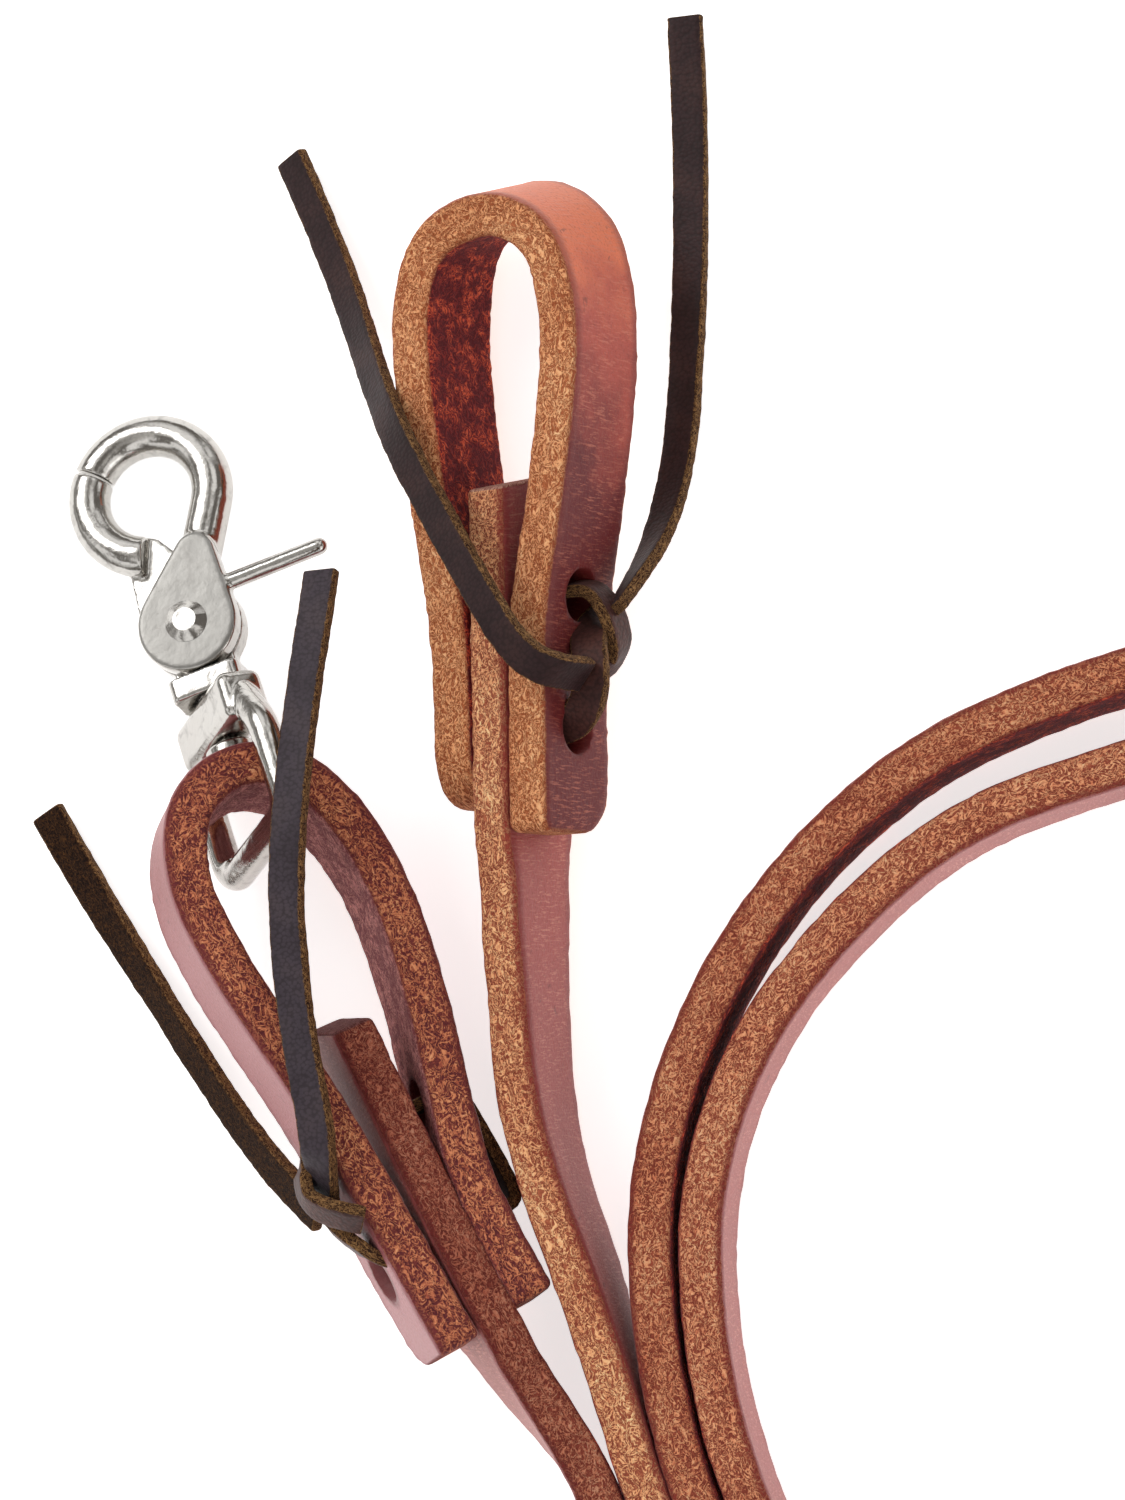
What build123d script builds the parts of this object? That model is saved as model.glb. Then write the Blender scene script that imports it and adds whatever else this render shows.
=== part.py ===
"""One-piece leather reins, coiled: a long strap with a bit loop tied at each end, one with a swivel snap."""
import os
from math import cos, pi, radians, sin, tan

from build123d import *

os.makedirs("parts", exist_ok=True)

# ---- Driving dimensions, millimetres and degrees ----
STRAP_WIDTH = 16.0          # five eighths of an inch, stands on edge
STRAP_THICK = 5.8
LEAN = 23.0                 # how far each tied end leans over from upright
TIE_CLEAR = 0.1             # the rein end is this much thinner than the gap between a loop's legs
HOLE_D = 7.0                # punched lace holes
HOLE_PITCH = 17.4           # between the two holes of a tied end
TAIL_END_A = -20.2          # free ends of a bit loop, from the middle of its holes
TAIL_END_B = -21.0
REIN_END_A = 24.5           # square cut end of the rein inside bit loop a
REIN_END_B = 23.0

LACE_WIDTH = 4.8
LACE_THICK = 1.7
LACE_TUBE_D = 3.2           # round tube with about the lace's section
ARC_SHARE = 0.45            # of the shorter run beside a corner, taken up by the arc there
KNOT_THICK = 4.2            # the knot in front of each tied end
KNOT_WIDTH = 7.0
KNOT_OUT = 2.6              # from the strap's face to the middle of the knot
KNOT_ROUND = 1.6
LACE_PAST = 2.0             # lace buried in the knot and the bridge
SLACK_A = 0.9               # how far the bridge stands off behind each tied end
SLACK_B = 2.6

# Bit loop a lies nearly straight up the sheet, bit loop b turns to the left.
LOOP_A_AT = (-6.4, 11.7, 11.65)
LOOP_A_HEADING = 0.7
LOOP_A_PITCH = 2.0
LOOP_B_AT = (-21.1, -56.5, 12.52)
LOOP_B_HEADING = 29.6
LOOP_B_PITCH = 3.2

# Centre lines of the bit loops in their own planes: across, along.
LOOP_A_LINE = [
    (-5.8, TAIL_END_A), (-5.8, 3.0), (-10.5, 30.0), (-11.3, 46.0), (-6.2, 61.0),
    (5.0, 61.0), (9.6, 46.0), (8.8, 28.0), (5.8, 8.0), (5.8, TAIL_END_A),
]
LOOP_B_LINE = [
    (-5.8, TAIL_END_B), (-5.8, 7.0), (-8.4, 29.0), (-8.1, 43.0), (-2.1, 57.4),
    (10.1, 57.4), (15.1, 41.0), (14.1, 25.0), (5.8, -1.0), (5.8, TAIL_END_B),
]

# Middle of the leather coil and its spiral: (turn angle, radius of the outer strap's centre line).
COIL_CENTRE = (95.0, -70.0)
COIL_START = 196.0
PASS_GAP = 6.3              # from one strap's centre line to the next where they touch
COIL_RADII = [
    (196.0, 94.8), (240.0, 94.0), (285.0, 93.0), (330.0, 93.0), (375.0, 91.5), (420.0, 86.0), (466.0, 81.7),
    (495.0, 84.4), (525.0, 84.9), (556.0, 82.3), (600.0, 81.2), (645.0, 80.4), (690.0, 79.6), (735.0, 77.5),
    (775.0, 74.2), (805.0, 72.0),
]
COIL_FAN = [
    (196.0, 0.0), (375.0, 0.0), (466.0, 5.4), (495.0, 3.4), (525.0, 0.4), (556.0, 0.0), (755.0, 0.0),
    (805.0, 9.0),
]
FOLD_ANGLE = 805.0          # where the doubled strap folds back on itself
COIL_STEPS = 18             # places round each side of the ring
COIL_SKIN = 0.15            # room round the straps in the ring

# Free stretches of the rein between the tied ends and the coil, on the floor.
REIN_A_ROUTE = [(-5.6, -40.0), (-3.2, -53.5), (1.9, -67.4), (6.1, -80.9), (9.93, -94.39)]
REIN_B_ROUTE = [(-7.0, -80.8), (0.6, -90.4), (3.6, -96.2)]

# Scissor snap, measured from its jaw pivot: +y towards the hook, +z away from the floor.
SNAP_AT = (-51.55, 18.4, 8.3)
SNAP_HEADING = 20.0
SNAP_DIP = 10.3             # the hook end drops to the floor
RING_CENTRE = (-0.15, 20.3)
RING_RADIUS = 8.7
WIRE_D = 5.7
HOOK_FROM = -28.0
HOOK_TO = 140.0
HOOK_RUN = 8.0              # straight wire from the ring down to the disc
FIXED_FROM = 142.5
FIXED_TO = 250.0
DISC_R = 6.9
PLATE_TOP = 3.1
PLATE_GAP = 0.3
PLATE_ROUND = 0.6
JAW_CLEAR = 0.5             # between the jaw's casting and the fixed half
LEVER_D = 2.4
LEVER_ROOT = 5.4
LEVER_TIP = 20.0
LEVER_Y = 3.6
LEVER_Z = 1.7
PIVOT_D = 3.0
PIVOT_CLEAR = 0.05
RIVET_BASE_R = 2.9
RIVET_TOP_R = 1.6
RIVET_HEAD = 0.9
COLLAR = (10.0, 3.2, 7.0)
COLLAR_Y = -8.9
COLLAR_ROUND = 1.2
NECK_WIDTH = 8.6
POST_D = 3.6
POST_CLEAR = 0.08
POST_HEAD_D = 6.8
POST_HEAD = 2.0
POST_HEAD_ROUND = 0.5
POST_GAP = 0.3              # between the post's head and the bail
SPRING_D = 7.2
SPRING_HOLE_D = 4.4
SPRING_SEAT = (0.6, 0.2)    # room beside and above the spring
SPRING_THICK = 1.0
SPRING_Z = -0.6
BAIL_TILT = 37.0            # how far the bail has rolled on its post
BAIL_WIRE_D = 4.2
BAIL_BLOCK_LENGTH = 6.8
BAIL_BLOCK_THICK = 6.4
BAIL_BLOCK_Y = -14.2
BAIL_SHOULDER = 8.0
BAIL_SHOULDER_Y = -20.0
BAIL_HALF = 11.7
BAIL_END_Y = -32.6
BAIL_BENDS = [7.0, 3.2, 3.2, 7.0]
BAIL_BLOCK_WIDTH = 19.0
BAIL_BLOCK_ROUND = 1.5
ROW_SHIFT = (31.29, 2.09)     # moves the middle of the tied ends and snap to the origin


def interpolate(table, at):
    """Smoothly blended value from a table of (position, value)."""
    for (p0, v0), (p1, v1) in zip(table, table[1:]):
        if at <= p1:
            step = (at - p0) / (p1 - p0)
            return v0 + (v1 - v0) * step * step * (3 - 2 * step)
    return table[-1][1]


def leaning_plane(at, heading, pitch, lean):
    """Plane of a tied end: y along it, z up the strap's width; lean > 0 tips its top to the left."""
    h, p, a = radians(heading), radians(pitch), radians(lean)
    along = Vector(-sin(h) * cos(p), cos(h) * cos(p), sin(p))
    across = Vector(cos(h), sin(h), 0)
    up = across.cross(along)
    return Plane(
        origin=Vector(at[0] + ROW_SHIFT[0], at[1] + ROW_SHIFT[1], at[2]),
        x_dir=across * cos(a) + up * sin(a),
        z_dir=up * cos(a) - across * sin(a),
    )


LOOP_A = leaning_plane(LOOP_A_AT, LOOP_A_HEADING, LOOP_A_PITCH, LEAN)
LOOP_B = leaning_plane(LOOP_B_AT, LOOP_B_HEADING, LOOP_B_PITCH, -LEAN)
SNAP = leaning_plane(SNAP_AT, SNAP_HEADING, -SNAP_DIP, 0.0)
BAIL_ACROSS = SNAP.z_dir * cos(radians(BAIL_TILT)) + SNAP.x_dir * sin(radians(BAIL_TILT))
BAIL = Plane(origin=SNAP.origin, x_dir=BAIL_ACROSS, z_dir=BAIL_ACROSS.cross(SNAP.y_dir))


def shifted(points, height):
    """Plan points as 3-D points of the row at one height."""
    return [Vector(x + ROW_SHIFT[0], y + ROW_SHIFT[1], height) for x, y in points]


def corner_radii(points):
    """Largest tangent arc for each corner of a route."""
    radii = []
    for before, corner, after in zip(points, points[1:], points[2:]):
        turn = radians((corner - before).get_angle(after - corner))
        shorter = min((corner - before).length, (after - corner).length)
        radii.append(ARC_SHARE * shorter / tan(turn / 2))
    return radii


def route(points, name):
    """Straight runs joined by tangent arcs through the points."""
    points = [Vector(*p) for p in points]
    radii = corner_radii(points)
    print(name, "radii", [round(r, 1) for r in radii])
    return FilletPolyline(*points, radius=radii)


def swept(path, section, name, area):
    """A section swept along a route, with its volume compared with section times length."""
    solid = sweep(section, path=path)
    ratio = solid.volume / (area * path.length)
    print(name, "volume ratio", round(ratio, 4), "length", round(path.length, 1))
    return solid


def on_edge(path, name):
    """Strap standing on edge along a level route."""
    start = Plane(origin=path @ 0, x_dir=(path % 0).cross(Vector(0, 0, 1)), z_dir=path % 0)
    section = start * Rectangle(STRAP_THICK, STRAP_WIDTH)
    return swept(path, section, name, STRAP_THICK * STRAP_WIDTH)


def lace_holes():
    """The two punched holes of a tied end, right through its three layers."""
    reach = 8 * STRAP_THICK
    hole = Rotation(0, 90, 0) * Cylinder(HOLE_D / 2, reach)
    return Pos(0, HOLE_PITCH / 2, 0) * hole + Pos(0, -HOLE_PITCH / 2, 0) * hole


def bit_loop(line, name):
    """Short strap bent to a U, in its own plane, with two lace holes through both legs."""
    path = route([(x, y, 0) for x, y in line], name)
    return on_edge(path, name) - lace_holes()


def rein_end(cut_end, tail_end):
    """Punched end of the rein between the legs of a bit loop, in the loop's plane."""
    length = cut_end - tail_end
    strap = Box(STRAP_THICK - TIE_CLEAR, length, STRAP_WIDTH)
    return Pos(0, (cut_end + tail_end) / 2, 0) * strap - lace_holes()


def rein_stretch(frame, cut_end, tail_end, points, name):
    """The rein from its punched end to the coil: leaning in the tie, twisting upright, then on edge."""
    path = route(shifted(points, STRAP_WIDTH / 2), name)
    upright = Plane(origin=path @ 0, x_dir=(path % 0).cross(Vector(0, 0, 1)), z_dir=path % 0)
    leaving = Plane(origin=frame.from_local_coords((0, tail_end, 0)), x_dir=-frame.x_dir, z_dir=-frame.y_dir)
    section = Rectangle(STRAP_THICK - TIE_CLEAR, STRAP_WIDTH)
    twist = loft([leaving * section, upright * Rectangle(STRAP_THICK, STRAP_WIDTH)], ruled=True)
    return frame * rein_end(cut_end, tail_end) + twist + on_edge(path, name)


def coil_radius(angle, layer):
    """Centre line radius of the outer (0) or inner (1) strap of the doubled rein."""
    return interpolate(COIL_RADII, angle) - layer * (PASS_GAP + interpolate(COIL_FAN, angle))


def coil_point(angle, radius):
    a = radians(angle)
    return (COIL_CENTRE[0] + radius * cos(a), COIL_CENTRE[1] + radius * sin(a))


def rein_coil():
    """Outer shape of the coiled rein: a ring that steps in where the two straps leave it."""
    half = STRAP_THICK / 2 + COIL_SKIN
    turn = 360.0
    outer = [COIL_START + turn * i / COIL_STEPS for i in range(COIL_STEPS + 1)]
    outer_points = [coil_point(a, coil_radius(a, 0) + half) for a in outer]
    inner_points = []
    for i in range(COIL_STEPS):
        angle = COIL_START + turn * i / COIL_STEPS
        inside = coil_radius(angle + turn, 1) if angle + turn < FOLD_ANGLE else coil_radius(angle, 1)
        inner_points.append(coil_point(angle, inside - half))
    outer_line = Spline(*shifted(outer_points, 0))
    step = Line(outer_line @ 1, outer_line @ 0)
    inner_line = Spline(*shifted(inner_points, 0), periodic=True)
    ring = make_face(Wire([outer_line, step])) - make_face(Wire([inner_line]))
    return extrude(ring, amount=STRAP_WIDTH, dir=(0, 0, 1))


def tie_lace(side, slack):
    """Lace through both holes, bridged behind and knotted in front; side is -1 or 1, the knotted face."""
    outer_face = 1.5 * STRAP_THICK
    length = 2 * outer_face + slack + LACE_PAST
    through = Pos(-side * slack / 2, 0, 0) * Box(length, LACE_THICK, LACE_WIDTH)
    strands = Pos(0, HOLE_PITCH / 2, 0) * through + Pos(0, -HOLE_PITCH / 2, 0) * through
    bridge_at = -side * (outer_face + LACE_THICK / 2 + slack)
    bridge = Pos(bridge_at, 0, 0) * Box(LACE_THICK, HOLE_PITCH + LACE_THICK, LACE_WIDTH)
    knot = Pos(side * (outer_face + KNOT_OUT), 0, 0) * Box(KNOT_THICK, HOLE_PITCH + LACE_THICK, KNOT_WIDTH)
    return strands + bridge + fillet(knot.edges(), KNOT_ROUND)


def lace_tail(points, name):
    """Free tail of a lace as a plain round tube."""
    shifted_points = [(x + ROW_SHIFT[0], y + ROW_SHIFT[1], z) for x, y, z in points]
    path = route(shifted_points, name)
    section = Plane(origin=path @ 0, z_dir=path % 0) * Circle(LACE_TUBE_D / 2)
    return swept(path, section, name, pi * (LACE_TUBE_D / 2) ** 2)


def ring_arc(first, last):
    """Round wire along part of the hook ring."""
    x, y = RING_CENTRE
    path = CenterArc((x, y, 0), RING_RADIUS, first, last - first)
    return sweep(Plane(origin=path @ 0, z_dir=path % 0) * Circle(WIRE_D / 2), path=path)


def ring_point(angle):
    a = radians(angle)
    return (RING_CENTRE[0] + RING_RADIUS * cos(a), RING_CENTRE[1] + RING_RADIUS * sin(a))


def web(end):
    """Flat teardrop outline from the pivot disc to a point on the wire."""
    return make_hull((Circle(DISC_R) + Pos(*end) * Circle(WIRE_D / 2)).edges())


def hook_root():
    """Where the hook's wire runs into the front disc."""
    x, y = ring_point(HOOK_FROM)
    a = radians(HOOK_FROM)
    return (x + HOOK_RUN * sin(a), y - HOOK_RUN * cos(a))


def hook_run():
    """Straight wire from the hook down to the disc."""
    path = Line(hook_root(), ring_point(HOOK_FROM))
    return sweep(Plane(origin=path @ 0, z_dir=path % 0) * Circle(WIRE_D / 2), path=path)


def thumb_lever():
    middle = Pos((LEVER_ROOT + LEVER_TIP) / 2, LEVER_Y, LEVER_Z)
    rod = middle * Rotation(0, 90, 0) * Cylinder(LEVER_D / 2, LEVER_TIP - LEVER_ROOT)
    return rod + Pos(LEVER_TIP, LEVER_Y, LEVER_Z) * Sphere(LEVER_D / 2)


def snap_jaw():
    """Moving jaw: front disc, hook and thumb lever in one casting."""
    plate = Pos(0, 0, PLATE_GAP) * extrude(web(hook_root()), amount=PLATE_TOP - PLATE_GAP)
    plate = fillet(plate.edges().group_by(Axis.Z)[-1], PLATE_ROUND)
    back_room = extrude(offset(web(ring_point(FIXED_TO)), JAW_CLEAR), amount=2 * PLATE_TOP)
    wire = hook_run() - Pos(0, 0, PLATE_GAP - 2 * PLATE_TOP) * back_room
    jaw = plate + wire + ring_arc(HOOK_FROM, HOOK_TO) + thumb_lever()
    return jaw - Cylinder(PIVOT_D / 2 + PIVOT_CLEAR, 4 * DISC_R)


def snap_frame():
    """Fixed half: back plate, fixed jaw, neck and collar."""
    back = Pos(0, 0, -PLATE_TOP) * extrude(web(ring_point(FIXED_TO)), amount=PLATE_TOP)
    front_room = extrude(offset(web(hook_root()), JAW_CLEAR), amount=2 * PLATE_TOP)
    neck_length = COLLAR[1]
    neck = Pos(0, COLLAR_Y + neck_length, -PLATE_TOP / 2) * Box(NECK_WIDTH, neck_length, PLATE_TOP)
    collar = Pos(0, COLLAR_Y, 0) * Box(*COLLAR)
    collar = fillet(collar.edges().filter_by(Axis.Y), COLLAR_ROUND)
    frame = back + (ring_arc(FIXED_FROM, FIXED_TO) - front_room) + neck + collar
    beside, above = SPRING_SEAT
    spring_seat = Pos(0, 0, SPRING_Z) * Cylinder(SPRING_D / 2 + beside, SPRING_THICK + above)
    post_hole = Pos(0, COLLAR_Y, 0) * Rotation(90, 0, 0) * Cylinder(POST_D / 2, 2 * COLLAR[1])
    return frame - Cylinder(PIVOT_D / 2, 4 * DISC_R) - spring_seat - post_hole


def snap_rivet():
    """Jaw pivot with a domed, flat-topped head sunk in the front disc."""
    top = PLATE_TOP + PIVOT_CLEAR
    cone = Cone(RIVET_BASE_R, RIVET_TOP_R, RIVET_HEAD, align=(Align.CENTER, Align.CENTER, Align.MIN))
    return Cylinder(PIVOT_D / 2, 2 * top) + Pos(0, 0, top) * cone


def jaw_spring():
    """Hidden torsion spring between the plates: close turns of flat wire round the pivot."""
    turns = Cylinder(SPRING_D / 2, SPRING_THICK) - Cylinder(SPRING_HOLE_D / 2, 2 * SPRING_THICK)
    return Pos(0, 0, SPRING_Z) * turns


def swivel_post():
    """Post through the bail with a button head, held in the collar."""
    top = COLLAR_Y + COLLAR[1] / 2
    bottom = BAIL_BLOCK_Y - BAIL_BLOCK_LENGTH / 2 - POST_GAP
    shank = Pos(0, (top + bottom) / 2, 0) * Rotation(90, 0, 0) * Cylinder(POST_D / 2, top - bottom)
    head = Pos(0, bottom - POST_HEAD / 2, 0) * Rotation(90, 0, 0) * Cylinder(POST_HEAD_D / 2, POST_HEAD)
    return shank + fillet(head.edges(), POST_HEAD_ROUND)


def snap_bail():
    """Closed bail: a block round the post, two arms past the strap's edges and an end bar inside the loop."""
    top = BAIL_BLOCK_Y
    corners = [
        (-BAIL_SHOULDER, top), (-BAIL_HALF, BAIL_SHOULDER_Y), (-BAIL_HALF, BAIL_END_Y),
        (BAIL_HALF, BAIL_END_Y), (BAIL_HALF, BAIL_SHOULDER_Y), (BAIL_SHOULDER, top),
    ]
    path = FilletPolyline(*[Vector(x, y, 0) for x, y in corners], radius=BAIL_BENDS)
    arms = sweep(Plane(origin=path @ 0, z_dir=path % 0) * Circle(BAIL_WIRE_D / 2), path=path)
    block = Pos(0, top, 0) * Box(BAIL_BLOCK_WIDTH, BAIL_BLOCK_LENGTH, BAIL_BLOCK_THICK)
    block = fillet(block.edges(), BAIL_BLOCK_ROUND)
    hole = Pos(0, top, 0) * Rotation(90, 0, 0) * Cylinder(POST_D / 2 + POST_CLEAR, 3 * BAIL_BLOCK_LENGTH)
    return arms + block - hole


# Routes of the lace tails from the knots: plan position and height of the centre line.
TAIL_A_LEFT = [
    (3.4, 9.4, 19.6), (0.6, 8.8, 26.6), (-4.2, 11.4, 27.4), (-10.0, 21.0, 26.0), (-16.0, 31.4, 23.0),
    (-21.8, 41.8, 19.4), (-26.6, 52.0, 11.0), (-30.6, 62.0, 5.0), (-35.0, 73.0, 2.6), (-40.0, 84.0, 2.0),
]
TAIL_A_RIGHT = [
    (6.8, 18.0, 16.0), (9.0, 22.5, 12.0), (11.6, 30.0, 6.4), (13.6, 40.0, 3.2), (14.5, 52.0, 2.4),
    (15.1, 66.0, 2.4), (15.2, 79.0, 2.4), (15.0, 90.5, 2.4), (14.5, 101.0, 2.4),
]
TAIL_B_FRONT = [
    (-30.4, -57.4, 20.0), (-29.6, -53.6, 26.6), (-30.2, -47.4, 27.4), (-31.8, -39.6, 27.8),
    (-33.2, -29.6, 28.2), (-33.8, -19.6, 28.7), (-33.4, -8.8, 28.8), (-32.7, 1.8, 27.0), (-31.9, 13.0, 24.0),
    (-31.1, 23.6, 20.5),
]
TAIL_B_LEFT = [
    (-32.4, -60.2, 14.0), (-37.6, -56.0, 10.0), (-45.4, -47.6, 5.4), (-53.4, -36.4, 3.0), (-60.6, -25.6, 2.2),
    (-67.4, -15.2, 2.0), (-73.2, -5.4, 2.0),
]

PARTS = {
    "bit_loop_a": LOOP_A * bit_loop(LOOP_A_LINE, "bit_loop_a"),
    "bit_loop_b": LOOP_B * bit_loop(LOOP_B_LINE, "bit_loop_b"),
    "rein_strap_a": rein_stretch(LOOP_A, REIN_END_A, TAIL_END_A, REIN_A_ROUTE, "rein_strap_a"),
    "rein_strap_b": rein_stretch(LOOP_B, REIN_END_B, TAIL_END_B, REIN_B_ROUTE, "rein_strap_b"),
    "rein_coil": rein_coil(),
    "tie_lace_a": LOOP_A * tie_lace(1, SLACK_A),
    "tie_lace_b": LOOP_B * tie_lace(-1, SLACK_B),
    "lace_tail_a_left": lace_tail(TAIL_A_LEFT, "lace_tail_a_left"),
    "lace_tail_a_right": lace_tail(TAIL_A_RIGHT, "lace_tail_a_right"),
    "lace_tail_b_front": lace_tail(TAIL_B_FRONT, "lace_tail_b_front"),
    "lace_tail_b_left": lace_tail(TAIL_B_LEFT, "lace_tail_b_left"),
    "snap_bail": BAIL * snap_bail(),
    "swivel_post": SNAP * swivel_post(),
    "snap_frame": SNAP * snap_frame(),
    "snap_jaw": SNAP * snap_jaw(),
    "snap_rivet": SNAP * snap_rivet(),
    "jaw_spring": SNAP * jaw_spring(),
}

for name, part in PARTS.items():
    export_step(part, f"parts/{name}.step")
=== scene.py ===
from math import cos, pi, radians, sin, sqrt

import bmesh
import bpy
import numpy as np
from mathutils import Matrix, Vector, kdtree, noise


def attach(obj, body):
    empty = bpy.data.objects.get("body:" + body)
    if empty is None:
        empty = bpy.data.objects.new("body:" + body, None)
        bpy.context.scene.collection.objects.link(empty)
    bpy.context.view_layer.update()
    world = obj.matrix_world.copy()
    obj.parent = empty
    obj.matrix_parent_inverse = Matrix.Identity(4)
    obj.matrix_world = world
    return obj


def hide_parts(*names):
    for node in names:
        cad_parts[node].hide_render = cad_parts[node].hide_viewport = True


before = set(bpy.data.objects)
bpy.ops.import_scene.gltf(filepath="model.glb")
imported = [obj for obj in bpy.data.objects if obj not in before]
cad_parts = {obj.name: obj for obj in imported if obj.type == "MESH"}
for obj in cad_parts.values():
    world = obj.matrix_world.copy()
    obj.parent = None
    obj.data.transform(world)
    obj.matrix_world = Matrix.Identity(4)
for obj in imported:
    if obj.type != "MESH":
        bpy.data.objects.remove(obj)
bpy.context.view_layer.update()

# Lengths are metres and angles degrees.
# Routes are written before ROW_SHIFT, which centres the tied ends and the snap on the origin.
ROW_SHIFT = Vector((0.03129, 0.00209, 0.0))
UP = Vector((0.0, 0.0, 1.0))

# ---- Leather sizes ----
STRAP_WIDTH = 0.016
STRAP_THICK = 0.0058
TIE_CLEAR = 0.0001              # the rein is this much thinner than the gap between a loop's legs
HOLE_D = 0.007
HOLE_PITCH = 0.0174
LACE_WIDTH = 0.0048
LACE_THICK = 0.0017
LEAN = 23.0                     # how far the tied ends lean over from upright
SQUARE_TIP = (0.0006, 0.0006)   # corner radii of a square cut end: at the top edge, at the low edge
LACE_TIP = (0.0002, 0.0002)
KNOT_SLACK_A = 0.0009           # how far the lace stands off behind each tied end
KNOT_SLACK_B = 0.0026
RIM_REACH = 0.0022              # the punched holes' dye fades out this far from the rim

# ---- Surface unevenness ----
STRAP_ROUGH = 0.00012           # height of the fibres on a strap's raw edges
LACE_ROUGH = 0.00009
FIBRE_SIZE = 0.0011
FACE_WAVE = 0.004
SLOW_WAVE = 0.006
FACE_SHARE = 0.15               # of the roughness, on smooth faces


# ---- Frames of the tied ends and the snap ----
def leaning_matrix(at, heading, pitch, lean):
    """Frame of a tied end: x across, y along, z up the strap's width; lean > 0 tips its top to the left."""
    h, p, a = radians(heading), radians(pitch), radians(lean)
    along = Vector((-sin(h) * cos(p), cos(h) * cos(p), sin(p)))
    across = Vector((cos(h), sin(h), 0.0))
    up = across.cross(along)
    x_axis = across * cos(a) + up * sin(a)
    z_axis = up * cos(a) - across * sin(a)
    matrix = Matrix((x_axis, along, z_axis)).transposed().to_4x4()
    matrix.translation = Vector(at) + ROW_SHIFT
    return matrix


LOOP_A = leaning_matrix((-0.0064, 0.0117, 0.01165), 0.7, 2.0, LEAN)
LOOP_B = leaning_matrix((-0.0211, -0.0565, 0.01252), 29.6, 3.2, -LEAN)
SNAP = leaning_matrix((-0.05155, 0.0184, 0.0083), 20.0, -10.3, 0.0)


# ---- Camera, at the photograph's angle ----
CAMERA_AT = Vector((0.12929, -0.06791, 0.593))
CAMERA_TARGET = Vector((0.03129, 0.00209, 0.016))
FRAME_HEIGHT = 0.195            # what the picture's long side takes in at the target
SENSOR = 36.0


def add_camera():
    data = bpy.data.cameras.new("camera")
    camera = bpy.data.objects.new("camera", data)
    bpy.context.scene.collection.objects.link(camera)
    back = (CAMERA_AT - CAMERA_TARGET).normalized()
    right = Vector((0.0, 1.0, 0.0)).cross(back).normalized()
    up = back.cross(right)
    matrix = Matrix((right, up, back)).transposed().to_4x4()
    matrix.translation = CAMERA_AT
    camera.matrix_world = matrix
    data.sensor_width = SENSOR
    data.lens = SENSOR * (CAMERA_AT - CAMERA_TARGET).length / FRAME_HEIGHT
    data.clip_start = 0.01
    data.clip_end = 10.0
    bpy.context.scene.camera = camera


add_camera()


# ---- Lines: every cord and strap follows points read from one NURBS spline ----
def nurbs_line(controls):
    """Points along the smooth curve that a NURBS spline makes of its control points."""
    curve = bpy.data.curves.new("line", "CURVE")
    curve.dimensions = "3D"
    spline = curve.splines.new("NURBS")
    spline.points.add(len(controls) - 1)
    for point, place in zip(spline.points, controls):
        point.co = (*place, 1.0)
    spline.order_u = 3
    spline.use_endpoint_u = True
    spline.resolution_u = 16
    holder = bpy.data.objects.new("line", curve)
    mesh = bpy.data.meshes.new_from_object(holder)
    points = np.array([v.co for v in mesh.vertices])
    bpy.data.objects.remove(holder)
    bpy.data.curves.remove(curve)
    bpy.data.meshes.remove(mesh)
    return points


def arc_lengths(points):
    steps = np.linalg.norm(np.diff(points, axis=0), axis=1)
    return np.concatenate([[0.0], np.cumsum(steps)])


def at_stations(values, lengths, stations):
    """Values given at each point of a line, interpolated at distances along it."""
    columns = [np.interp(stations, lengths, values[:, k]) for k in range(values.shape[1])]
    return np.stack(columns, axis=1)


def unit(rows):
    return rows / np.linalg.norm(rows, axis=1)[:, None]


def blend_table(table, at):
    """Smoothly blended value from a table of (position, value)."""
    for (p0, v0), (p1, v1) in zip(table, table[1:]):
        if at <= p1:
            step = max(0.0, (at - p0) / (p1 - p0))
            return v0 + (v1 - v0) * step * step * (3 - 2 * step)
    return table[-1][1]


def plan(points):
    """Plan points in the row frame."""
    return [Vector(p) + ROW_SHIFT for p in points]


# ---- Bands: straps and laces as closed meshes with a rounded section ----
def band_outline(half_x, half_z, corner, edge_steps, face_steps):
    """Cross-section outline as (x, z) pairs: x through the thickness, z across the width."""
    outline = []
    corners = [(1, 1, 0), (-1, 1, 90), (-1, -1, 180), (1, -1, 270)]
    counts = [edge_steps, face_steps, edge_steps, face_steps]
    for (sx, sz, first), count in zip(corners, counts):
        centre = Vector((sx * (half_x - corner), sz * (half_z - corner)))
        turns = [radians(first + a) for a in (0, 45, 90)]
        arc = [centre + Vector((cos(a), sin(a))) * corner for a in turns]
        outline += arc
        along_edge = first in (0, 180)
        reach = 2 * ((half_x if along_edge else half_z) - corner)
        direction = Vector((cos(radians(first + 180)), sin(radians(first + 180))))
        outline += [arc[-1] + direction * reach * i / count for i in range(1, count)]
    return np.array([tuple(p) for p in outline])


def tip_range(distance, top_radius, low_radius, half_z):
    """Lowest and highest z of a band at a distance from its end, whose corners are rounded."""
    def cut(radius):
        inside = max(0.0, radius - distance)
        return radius - sqrt(max(0.0, radius * radius - inside * inside))
    return -half_z + cut(low_radius), half_z - cut(top_radius)


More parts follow.
